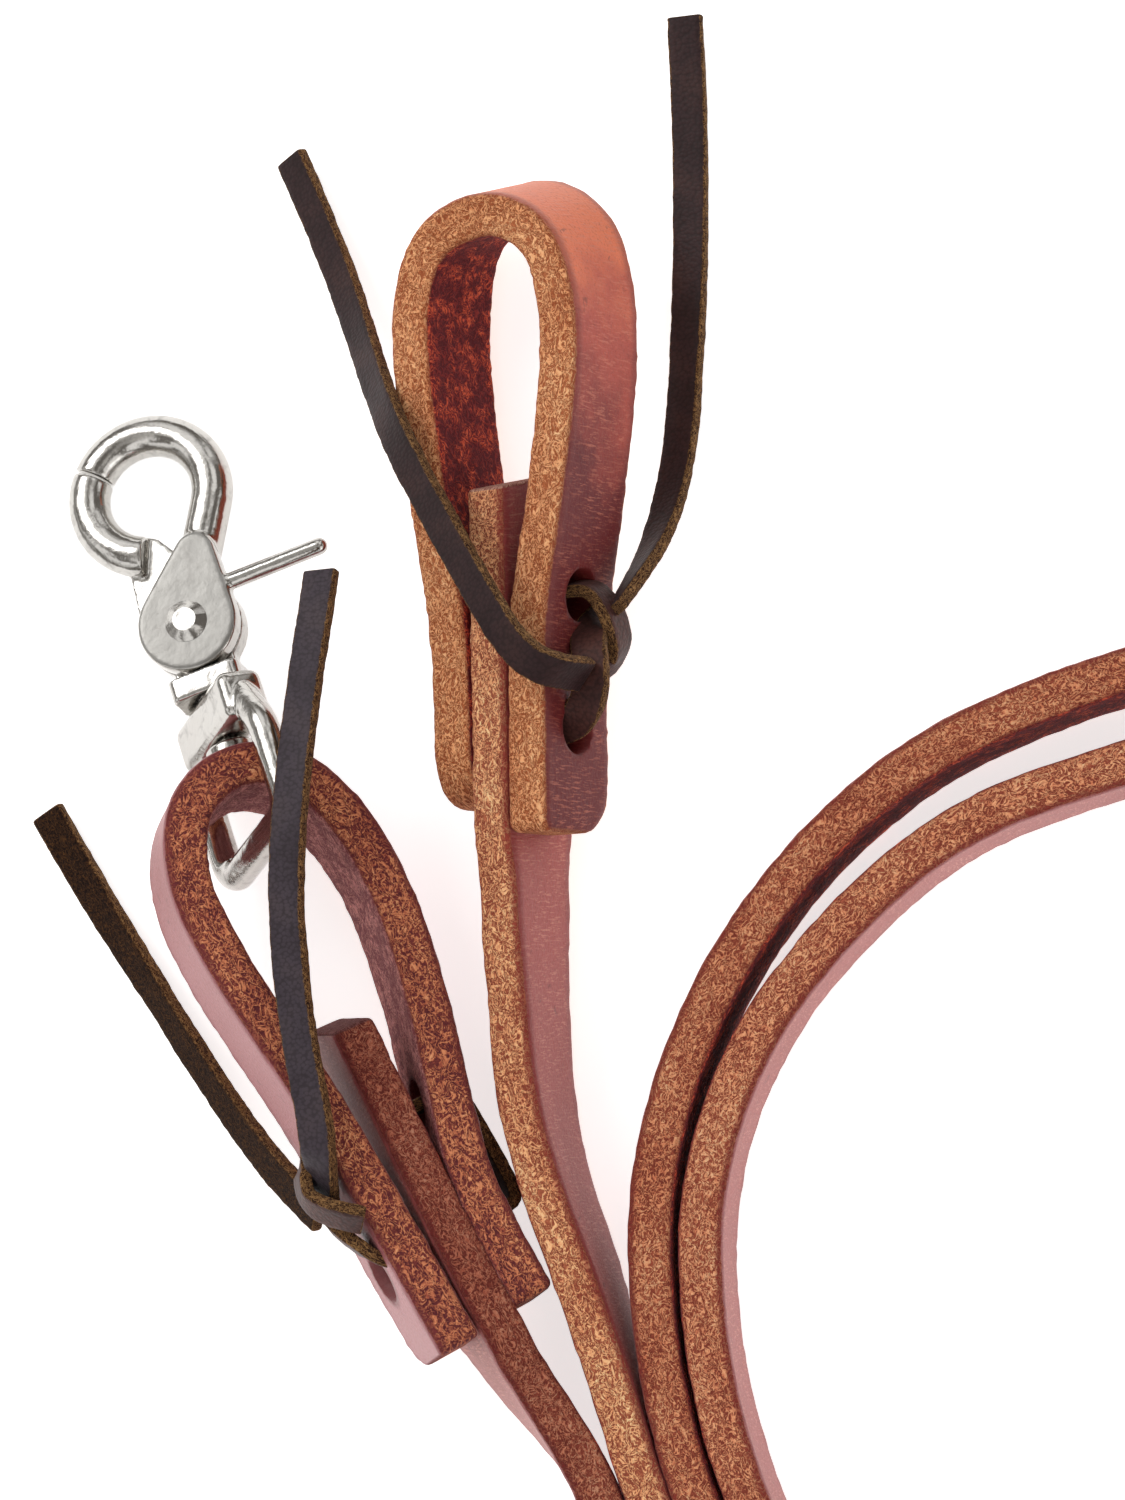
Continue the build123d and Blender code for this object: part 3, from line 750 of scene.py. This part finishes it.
def leather(name, grain, edge, flesh, rim=False):
    """Strap leather: dyed grain face, fibrous raw edges with a dyed border, rough flesh side."""
    n = Nodes(name)
    strap = n.strap_mm()
    x, y, z = n.add("ShaderNodeSeparateXYZ", {0: strap}).outputs
    tip = n.attribute("tip", "Fac")
    half_x, half_z = STRAP_THICK * 500, STRAP_WIDTH * 500     # millimetres
    ragged = n.math("MULTIPLY", n.math("SUBTRACT", n.noise(strap, 0.9, 3.0), 0.5), 0.7)
    height = n.math("ADD", n.math("ABSOLUTE", z), ragged)
    depth = n.math("ADD", n.math("ABSOLUTE", x), n.math("MULTIPLY", ragged, 1.1))

    # Raw edge: tangled pale fibres over a red-brown body, darker towards the dyed faces.
    patches = n.math("SUBTRACT", n.noise(n.scaled(strap, (1.0, 0.35, 1.0)), 0.22, 3.0), 0.5)
    fibres = tangle(n, n.scaled(strap, (1.0, 0.7, 1.0)), edge["scale"])
    edge_colour = n.ramp(n.math("ADD", fibres, n.math("MULTIPLY", patches, edge["patch"])), edge["colours"])
    grain_border = n.math("ADD", x, n.math("MULTIPLY", ragged, 1.1))
    dyed = half_x - edge["border"]
    border = n.math(
        "MAXIMUM", n.step(grain_border, dyed, dyed + 0.7), n.step(depth, half_x - 0.6, half_x - 0.1),
    )
    edge_colour = n.mix(n.math("MULTIPLY", border, edge["dye"]), edge_colour, srgb(edge["border_colour"]))
    cut_colour = n.ramp(fibres, [(0.25, "8A4A3E"), (0.50, "B98270"), (0.78, "D8AE96")])
    edge_colour = n.mix(tip, edge_colour, cut_colour) if edge["pale_tip"] else edge_colour
    along = n.add("ShaderNodeMapRange", {0: y, 1: grain["span"][0], 2: grain["span"][1]}).outputs[0]
    worn = n.ramp(along, [(0.06, "FFFFFF"), (0.3, "F0E2E8"), (0.9, "DEC6C6"), (0.97, "B898A6")])
    edge_colour = n.mix(edge["fade"], edge_colour, worn, "MULTIPLY")

    grain_colour, cross, speckle = grain_face(n, strap, along, grain)
    near_edge = n.step(height, half_z - 2.6, half_z - 0.9)
    grain_colour = n.mix(n.math("MULTIPLY", near_edge, 0.55), grain_colour, srgb(grain["line"]))

    # Flesh side: dark smooth patches between torn orange-red fibres.
    torn = tangle(n, n.scaled(strap, (1.0, 0.8, 0.8)), 0.62)
    smooth_patch = n.noise(strap, 0.35, 2.0, 0.5)
    flesh_level = n.math("SUBTRACT", torn, n.math("MULTIPLY", n.step(smooth_patch, 0.42, 0.58), 0.25))
    flesh_colour = n.ramp(flesh_level, flesh)

    on_flesh = n.step(n.math("MULTIPLY", x, -1.0), half_x - 0.9, half_x - 0.6)
    on_edge = n.math("MAXIMUM", n.step(height, half_z - 0.75, half_z - 0.35), tip)
    face_colour = n.mix(on_flesh, grain_colour, flesh_colour)
    colour = n.mix(on_edge, face_colour, edge_colour)
    raw = n.math("MAXIMUM", on_edge, on_flesh)
    if rim:
        ring = n.attribute("rim", "Fac")
        colour = n.mix(n.math("MULTIPLY", n.step(ring, 0.35, 0.95), 0.75), colour, srgb("6E1E1C"))
    rough = n.lerp(raw, n.math("ADD", n.math("MULTIPLY", speckle, 0.22), grain["rough"]), 0.88)
    pores = n.cells(strap, 2.1)
    smooth_height = n.math("ADD", n.math("MULTIPLY", pores, 0.16), n.math("MULTIPLY", cross, 0.40))
    raw_height = n.math("MULTIPLY", n.lerp(on_flesh, fibres, torn), 1.7)
    relief = n.lerp(raw, smooth_height, raw_height)
    n.set(Base_Color=colour, Roughness=rough, Normal=n.bump(relief, 0.9, 0.00030))
    n.shader.inputs["Specular IOR Level"].default_value = grain["gloss"]
    n.shader.inputs["Sheen Weight"].default_value = 0.03
    n.shader.inputs["Sheen Roughness"].default_value = 0.5
    return n.material


def lace_leather(name, tint):
    """Oiled lace leather: dark pebbled face, fuzzy tan edges, dark nap on the flesh side."""
    n = Nodes(name)
    strap = n.strap_mm()
    x, _, z = n.add("ShaderNodeSeparateXYZ", {0: strap}).outputs
    tip = n.attribute("tip", "Fac")
    half_x, half_z = LACE_THICK * 500, LACE_WIDTH * 500       # millimetres
    ragged = n.math("MULTIPLY", n.math("SUBTRACT", n.noise(strap, 1.6, 3.0), 0.5), 0.5)
    height = n.math("ADD", n.math("ABSOLUTE", z), ragged)
    fibres = tangle(n, n.scaled(strap, (1.0, 0.6, 1.0)), 1.3)
    edge_colour = n.ramp(fibres, [(0.22, "2A180F"), (0.38, "523722"), (0.54, "785534"), (0.78, "AC8454")])
    tone = n.noise(strap, 0.12, 3.0, 0.6)
    face_colour = n.ramp(tone, tint)
    pebbles = n.cells(n.scaled(strap, (1.0, 1.25, 1.0)), 1.7)
    face_colour = n.mix(n.math("MULTIPLY", n.step(pebbles, 0.35, 0.75), 0.4), face_colour, srgb("17100F"))
    nap = n.ramp(fibres, [(0.22, "180B07"), (0.42, "28160C"), (0.58, "3E2614"), (0.80, "684524")])
    on_flesh = n.step(n.math("MULTIPLY", x, -1.0), half_x - 0.45, half_x - 0.25)
    on_edge = n.math("MAXIMUM", n.step(height, half_z - 0.38, half_z - 0.15), tip)
    colour = n.mix(on_edge, n.mix(on_flesh, face_colour, nap), edge_colour)
    raw = n.math("MAXIMUM", on_edge, on_flesh)
    relief = n.lerp(raw, n.math("MULTIPLY", pebbles, -0.45), n.math("MULTIPLY", fibres, 1.2))
    n.set(Base_Color=colour, Roughness=n.lerp(raw, 0.5, 0.9), Normal=n.bump(relief, 0.8, 0.00016))
    n.shader.inputs["Specular IOR Level"].default_value = 0.16
    n.shader.inputs["Sheen Weight"].default_value = 0.02
    n.shader.inputs["Sheen Roughness"].default_value = 0.5
    return n.material


def nickel(name, roughness, patch):
    """Nickel plate over a casting: bright, with faint waves, dull patches and a little tarnish."""
    n = Nodes(name)
    place = n.add("ShaderNodeTexCoord", {}).outputs["Object"]
    mm = n.scaled(place, PER_METRE)
    dull = n.step(n.noise(mm, 0.55, 4.0, 0.65, 0.6), 0.48, 0.72)
    colour = n.mix(n.math("MULTIPLY", dull, 0.5), srgb("BCB9B4"), srgb("8E8A86"))
    # The disc's top face has a rougher satin finish and a darker grey colour. The darker grey is a painted
    # reflection of what lies overhead.
    satin_and_dark_reflection = n.attribute("satin_and_dark_reflection", "Fac")
    colour = n.mix(satin_and_dark_reflection, colour, n.mix(n.math("MULTIPLY", dull, 0.4), srgb("94928E"), srgb("84817D")))
    pits = n.step(n.noise(mm, 2.6, 3.0, 0.6), 0.66, 0.76)
    colour = n.mix(n.math("MULTIPLY", pits, 0.3), colour, srgb("5A5048"))
    rough = n.lerp(satin_and_dark_reflection, n.math("ADD", n.math("MULTIPLY", dull, patch), roughness), 0.40)
    waves = n.noise(mm, 0.4, 3.0, 0.5)
    grit = n.noise(mm, 5.0, 2.0, 0.6)
    relief = n.math("ADD", waves, n.math("MULTIPLY", grit, 0.06))
    n.set(Base_Color=colour, Roughness=rough, Normal=n.bump(relief, 0.28, 0.0004))
    n.shader.inputs["Metallic"].default_value = 1.0
    return n.material


BODY_EDGE = {
    "scale": 0.8, "patch": 0.30, "border": 1.25, "dye": 0.75, "border_colour": "92362E",
    "pale_tip": True, "fade": 1.0,
    "colours": [(0.20, "8A402D"), (0.36, "BD6A4A"), (0.50, "E49164"), (0.64, "FFBE88"), (0.82, "FFEFB9")],
}
DARK_EDGE = dict(
    BODY_EDGE, scale=0.68, border_colour="762A2C", pale_tip=False, fade=0.0,
    colours=[(0.20, "5B1F24"), (0.36, "8A3B30"), (0.50, "B25C42"), (0.66, "E28F62"), (0.86, "FFD09E")],
)
LIGHT_EDGE = dict(
    BODY_EDGE, dye=0.55, border=0.7, border_colour="9A4A34", pale_tip=False, fade=0.0,
    colours=[(0.20, "9A4F2D"), (0.36, "C27147"), (0.50, "E09160"), (0.64, "F8B37E"), (0.82, "FFDBA8")],
)
SMOOTH_FLESH = [(0.18, "884548"), (0.34, "B46F6C"), (0.50, "C8827D"), (0.64, "DB938B"), (0.80, "FFB79E")]
FLESH = [(0.18, "682127"), (0.34, "8F3232"), (0.50, "B34335"), (0.64, "EA6545"), (0.80, "FF9363")]

# Grain faces; span is where the colours begin and end along the strap, in millimetres.
REIN_GRAIN = {
    "span": (0, 2000), "drift": 1.0, "crease": 0.72, "crease_colour": "D08A78", "gloss": 0.3,
    "scuff": "A0584A", "rough": 0.34, "line": "7E3034",
    "colours": [(0.0, "AE5650"), (0.35, "A8524C"), (0.7, "A05048"), (1.0, "AC625C")],
}
LOOP_A_GRAIN = {
    "span": (0, 175), "drift": 0.25, "crease": 0.55, "crease_colour": "CC7860", "gloss": 0.22,
    "scuff": "C07058", "rough": 0.36, "line": "7A3C3A",
    "colours": [
        (0.0, "6A2C2E"), (0.36, "A04830"), (0.47, "DC7A52"), (0.57, "DC7450"), (0.65, "B04C3E"),
        (0.74, "6C2224"), (1.0, "6E282A"),
    ],
}
LOOP_B_GRAIN = {
    "span": (0, 172), "drift": 0.5, "crease": 0.4, "crease_colour": "B87674", "gloss": 0.4,
    "scuff": "A86A66", "rough": 0.32, "line": "86343A",
    # The pale pinkish-grey colours at the start lie on the leg whose outer face turns up towards the key
    # light. There they are the strap's burgundy grain with a painted sheen. Further along, the grain is
    # darker.
    "colours": [(0.0, "B47678"), (0.3, "B27072"), (0.6, "9A5654"), (1.0, "8C4442")],
}

rein_leather = leather("rein_leather", REIN_GRAIN, BODY_EDGE, FLESH)
loop_a_leather = leather("loop_a_leather", LOOP_A_GRAIN, LIGHT_EDGE, FLESH, rim=True)
loop_b_leather = leather("loop_b_leather", LOOP_B_GRAIN, DARK_EDGE, SMOOTH_FLESH, rim=True)
lace_brown = lace_leather("lace_brown", [(0.3, "2A1B1B"), (0.5, "342324"), (0.7, "402B29")])
lace_blue = lace_leather("lace_blue", [(0.3, "352C32"), (0.5, "40373E"), (0.7, "493E42")])
lace_red = lace_leather("lace_red", [(0.3, "3A2220"), (0.5, "4C2E2A"), (0.7, "5C3A32")])


def paint(piece, material):
    piece.data.materials.clear()
    piece.data.materials.append(material)


paint(rein, rein_leather)
paint(loop_a, loop_a_leather)
paint(loop_b, loop_b_leather)
for tail in tails:
    paint(tail, lace_blue if "b_front" in tail.name else lace_brown)
for strand in knots:
    paint(strand, lace_red)


# ---- Snap ----
CAST_VOXEL = 0.00025
CAST_SMOOTHING = 6
DISC_TOP = 0.00290              # height of the ground disc over the snap's middle plane
DISC_RIM = 0.0001
DISC_FROM = -0.0075             # the wire of the hook and the bail lies on the other side of this


def cast(node, body):
    """A snap part as cast metal: the CAD part with its joins run together and its edges softened."""
    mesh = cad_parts[node].data.copy()
    piece = bpy.data.objects.new(node + "_cast", mesh)
    bpy.context.scene.collection.objects.link(piece)
    mesh.materials.clear()
    remesh = piece.modifiers.new("remesh", "REMESH")
    remesh.mode = "VOXEL"
    remesh.voxel_size = CAST_VOXEL
    soften = piece.modifiers.new("soften", "SMOOTH")
    soften.factor = 0.5
    soften.iterations = CAST_SMOOTHING
    depsgraph = bpy.context.evaluated_depsgraph_get()
    piece.data = bpy.data.meshes.new_from_object(piece.evaluated_get(depsgraph))
    piece.modifiers.clear()
    piece.data.shade_smooth()
    mark_disc_satin_and_reflection(piece.data)
    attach(piece, body)
    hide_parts(node)
    return piece


def mark_disc_satin_and_reflection(mesh):
    """Marks the top face of the snap's flat disc. It is satin, duller than its tumbled wire, and painted a
    darker grey that stands in for the darker reflection it shows from overhead.
    """
    local = SNAP.inverted()
    values = []
    for v in mesh.vertices:
        p = local @ v.co
        values.append(min(1.0, max(0.0, (p.z - DISC_TOP) / DISC_RIM)) if p.y > DISC_FROM else 0.0)
    attribute = mesh.attributes.new("satin_and_dark_reflection", "FLOAT", "POINT")
    attribute.data.foreach_set("value", np.array(values, np.float32))


polished = nickel("nickel_polished", 0.15, 0.10)
satin = nickel("nickel_satin", 0.22, 0.14)
SNAP_BODIES = {"snap_jaw": "snap_jaw", "snap_frame": "snap_body", "snap_bail": "snap_bail"}
for node, body in SNAP_BODIES.items():
    paint(cast(node, body), polished)
for node in ("swivel_post", "snap_rivet"):
    paint(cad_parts[node], polished)
paint(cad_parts["jaw_spring"], satin)


# ---- Floor and light ----
FLOOR_SIZE = 6.0
FLOOR_DROP = 0.0002             # below the part, so that no face lies in the floor
FLOOR_GLOW = 0.68               # lifts the floor to the photo's white
WORLD_STRENGTH = 1.35


def add_floor():
    bpy.ops.mesh.primitive_plane_add(size=FLOOR_SIZE, location=(0.0, 0.0, -FLOOR_DROP))
    floor = bpy.context.object
    floor.name = "floor"
    n = Nodes("pale_floor")
    n.set(Base_Color=srgb("FAFAFA"), Roughness=0.9)
    n.shader.inputs["Specular IOR Level"].default_value = 0.1
    n.shader.inputs["Emission Color"].default_value = (1.0, 1.0, 1.0, 1.0)
    n.shader.inputs["Emission Strength"].default_value = FLOOR_GLOW
    floor.data.materials.append(n.material)


def add_soft_light(name, place, size, power):
    data = bpy.data.lights.new(name, "AREA")
    data.shape = "DISK"
    data.size = size
    data.energy = power
    light = bpy.data.objects.new(name, data)
    bpy.context.scene.collection.objects.link(light)
    light.location = place
    light.rotation_mode = "QUATERNION"
    light.rotation_quaternion = (Vector(place) - CAMERA_TARGET).to_track_quat("Z", "Y")


def add_world():
    """A pale studio: bright panels part way up, darker overhead and low down, with gaps between."""
    world = bpy.data.worlds.new("studio")
    bpy.context.scene.world = world
    n = Nodes("studio", world)
    place = n.add("ShaderNodeTexCoord", {}).outputs["Generated"]
    height = n.add("ShaderNodeSeparateXYZ", {0: place}).outputs[2]
    panels = n.ramp(height, [
        (0.0, "7A7876"), (0.2, "A8A6A4"), (0.42, "F4F4F4"), (0.80, "FFFFFF"), (0.94, "BDBBB8"),
        (1.0, "9A9896"),
    ])
    gaps = n.step(n.noise(place, 2.2, 1.0), 0.46, 0.56)
    background = n.tree.nodes["Background"]
    n.put(background.inputs["Color"], n.mix(gaps, srgb("6A6662"), panels))
    background.inputs["Strength"].default_value = WORLD_STRENGTH


add_floor()
add_world()
add_soft_light("key", (-0.75, 0.6, 0.9), 0.8, 5.5)
add_soft_light("fill", (0.9, -0.5, 0.8), 1.0, 2.5)
bpy.context.scene.view_settings.view_transform = "Standard"
